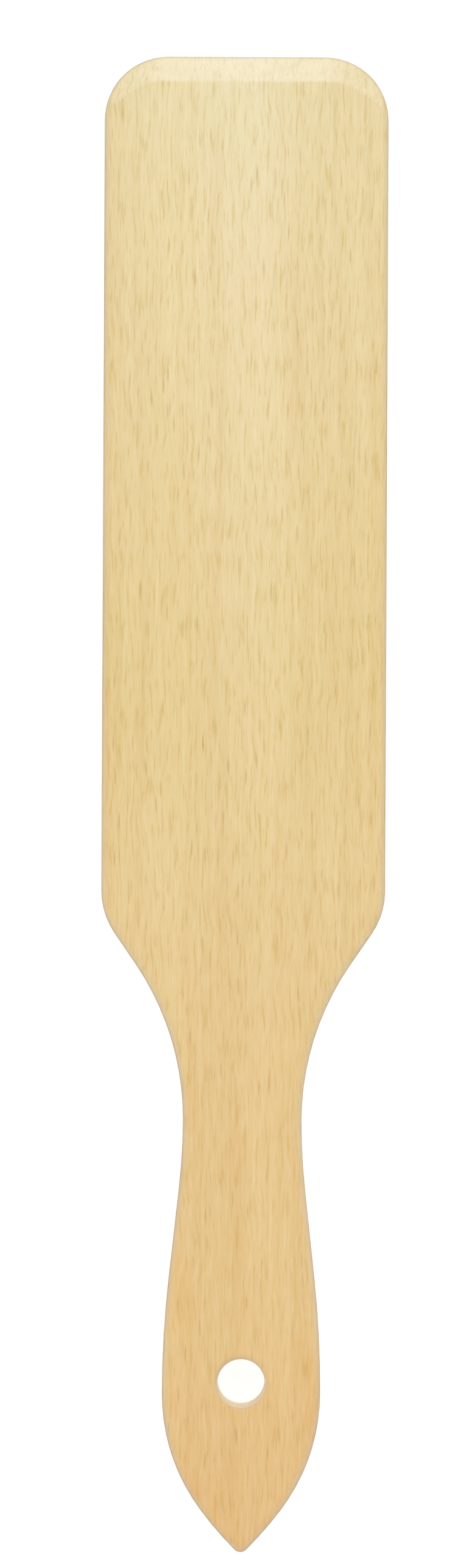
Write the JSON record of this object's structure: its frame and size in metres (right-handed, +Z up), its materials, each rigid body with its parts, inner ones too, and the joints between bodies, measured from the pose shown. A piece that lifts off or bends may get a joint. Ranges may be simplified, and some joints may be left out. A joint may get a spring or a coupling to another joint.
{
  "type": "narrow hand carder",
  "caption": "Narrow one-handed wool carder: one-piece wooden paddle with a pointed, drilled handle; bent-wire card clothing stapled to its lower face.",
  "frame": {"origin": "on the plane that the tooth points rest on, under the middle of the board's length and width", "axes": "+Z up, out of the plain back of the board; +Y along the board to the blade's free end, so the handle points to -Y; +X across the blade"},
  "size_m": [0.06, 0.316, 0.021],
  "materials": {
    "beech": "fine-sanded and oiled, unvarnished",
    "canvas": "plain-woven, unbleached",
    "rubber": "matt, faintly chalky",
    "staple_wire": "galvanised, dull",
    "card_wire": "bright drawn wire with ground points"
  },
  "bodies": {
    "root": {"paddle": "beech", "canvas_backing": "canvas", "rubber_face": "rubber", "edge_staples_right": "staple_wire", "edge_staples_left": "staple_wire", "edge_staples_blade_end": "staple_wire", "edge_staples_heel": "staple_wire", "tooth_row_01": "card_wire", "tooth_row_02": "card_wire", "tooth_row_03": "card_wire", "tooth_row_04": "card_wire", "tooth_row_05": "card_wire", "tooth_row_06": "card_wire", "tooth_row_07": "card_wire", "tooth_row_08": "card_wire", "tooth_row_09": "card_wire", "tooth_row_10": "card_wire", "tooth_row_11": "card_wire", "tooth_row_12": "card_wire", "tooth_row_13": "card_wire", "tooth_row_14": "card_wire", "tooth_row_15": "card_wire", "tooth_row_16": "card_wire", "tooth_row_17": "card_wire", "tooth_row_18": "card_wire", "tooth_row_19": "card_wire", "tooth_row_20": "card_wire", "tooth_row_21": "card_wire", "tooth_row_22": "card_wire", "tooth_row_23": "card_wire", "tooth_row_24": "card_wire", "tooth_row_25": "card_wire", "tooth_row_26": "card_wire", "tooth_row_27": "card_wire", "tooth_row_28": "card_wire", "tooth_row_29": "card_wire", "tooth_row_30": "card_wire", "tooth_row_31": "card_wire", "tooth_row_32": "card_wire", "tooth_row_33": "card_wire", "tooth_row_34": "card_wire", "tooth_row_35": "card_wire", "tooth_row_36": "card_wire"}
  },
  "joints": []
}
